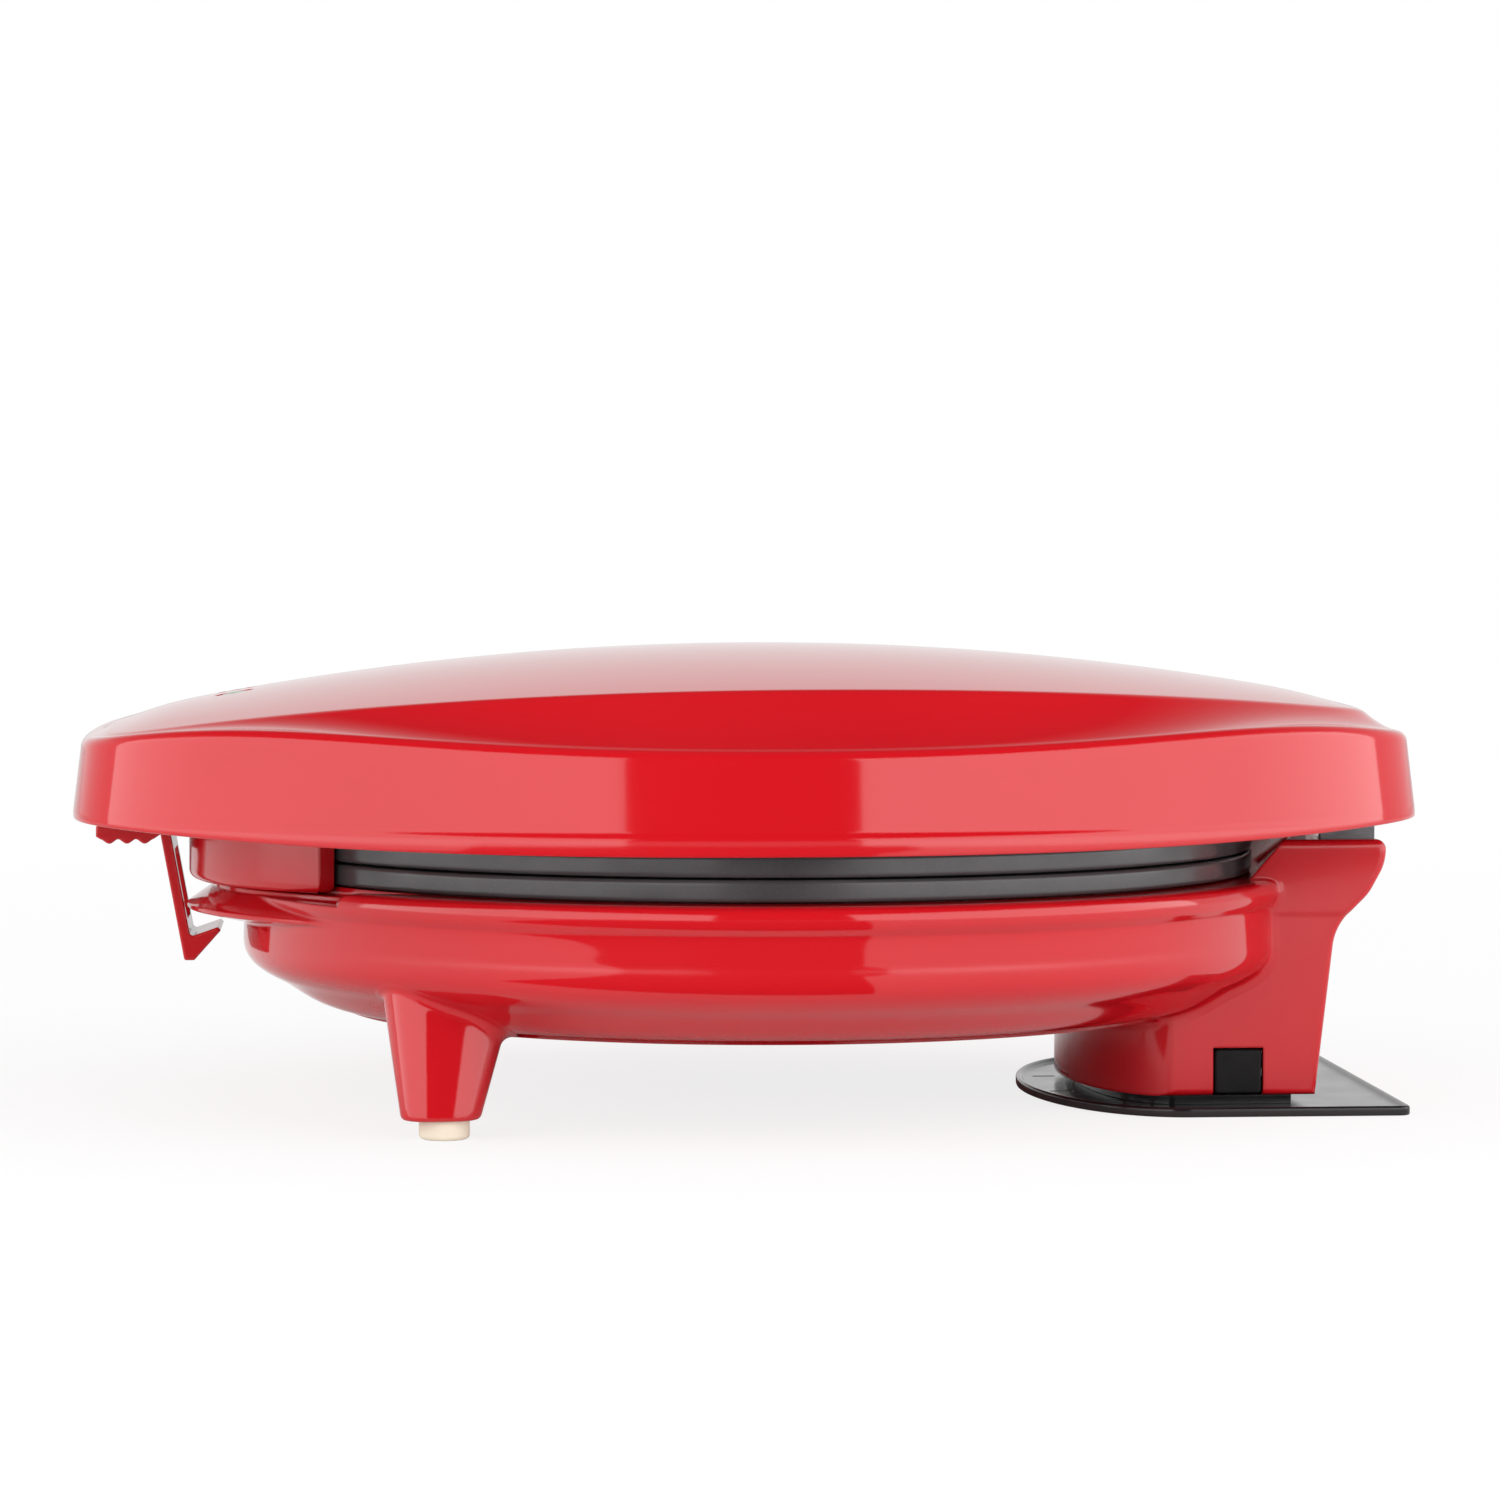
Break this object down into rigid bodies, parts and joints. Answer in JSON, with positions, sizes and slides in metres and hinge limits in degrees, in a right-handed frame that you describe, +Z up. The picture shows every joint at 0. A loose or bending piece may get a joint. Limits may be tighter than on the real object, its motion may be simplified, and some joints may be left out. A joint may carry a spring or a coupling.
{
  "type": "sandwich and waffle maker",
  "caption": "Red countertop sandwich and waffle maker with a hinged lid, round pocketed plates, a front latch clip, tapered legs and a black cord-wrap foot plate.",
  "frame": {"origin": "middle of the footprint of the closed maker, on the ground", "axes": "+X from the latch end to the hinge end, +Z up, +Y to the left of the maker seen from its latch end looking towards the hinge"},
  "size_m": [0.2918, 0.2368, 0.101],
  "materials": {
    "red_gloss": "high gloss red moulding with clean reflections",
    "red_satin": "satin red moulding",
    "plate_coat": "dark grey non-stick coating on cast aluminium, faintly speckled",
    "black_plastic": "semi-matte black moulding with a fine grain",
    "cream_rubber": "matt cream rubber",
    "zinc_steel": "zinc plated steel",
    "spring_steel": "drawn spring wire",
    "element_steel": "heat-tinted steel tube",
    "bare_aluminium": "bright rolled sheet",
    "ceramic": "unglazed white ceramic",
    "lens_red": "clear red lens",
    "lens_green": "clear green lens",
    "lamp_glass": "small neon lamp bulb"
  },
  "bodies": {
    "base": {"lower_casing": "red_gloss", "lower_plate": "plate_coat", "lower_heater": "element_steel", "lower_reflector": "bare_aluminium", "lower_reflector_screw_1": "zinc_steel", "lower_reflector_screw_2": "zinc_steel", "lower_reflector_screw_3": "zinc_steel", "terminal_block": "black_plastic", "thermal_fuse": "ceramic", "cord_plate": "black_plastic", "cord_gland": "black_plastic", "base_screw_1": "zinc_steel", "base_screw_2": "zinc_steel", "base_screw_3": "zinc_steel", "left_foot_pad": "cream_rubber", "right_foot_pad": "cream_rubber", "left_hinge_pin": "zinc_steel", "right_hinge_pin": "zinc_steel"},
    "lid": {"lid_shell": "red_gloss", "lid_frame": "red_satin", "upper_plate": "plate_coat", "upper_heater": "element_steel", "upper_reflector": "bare_aluminium", "upper_reflector_screw_1": "zinc_steel", "upper_reflector_screw_2": "zinc_steel", "upper_reflector_screw_3": "zinc_steel", "thermostat": "ceramic", "lid_hinge_bracket": "zinc_steel", "bracket_screw_1": "zinc_steel", "bracket_screw_2": "zinc_steel", "lid_screw_1": "zinc_steel", "lid_screw_2": "zinc_steel", "lid_screw_3": "zinc_steel", "lid_screw_4": "zinc_steel", "lid_screw_5": "zinc_steel", "lid_screw_6": "zinc_steel", "latch_pin": "zinc_steel", "power_lens": "lens_red", "power_lamp": "lamp_glass", "ready_lens": "lens_green", "ready_lamp": "lamp_glass"},
    "latch": {"latch_clip": "red_satin", "latch_spring": "spring_steel"}
  },
  "joints": [
    {"name": "lid_hinge", "type": "hinge", "parent": "base", "child": "lid", "pos_m": [0.1305, 0, 0.0545], "axis": [0, 1, 0], "range_deg": [0, 100]},
    {"name": "latch_pivot", "type": "hinge", "parent": "lid", "child": "latch", "pos_m": [-0.1275, 0, 0.064], "axis": [0, 1, 0], "range_deg": [0, 20], "stiffness_Nm_per_rad": 0.03, "springref_deg": -17.19}
  ]
}
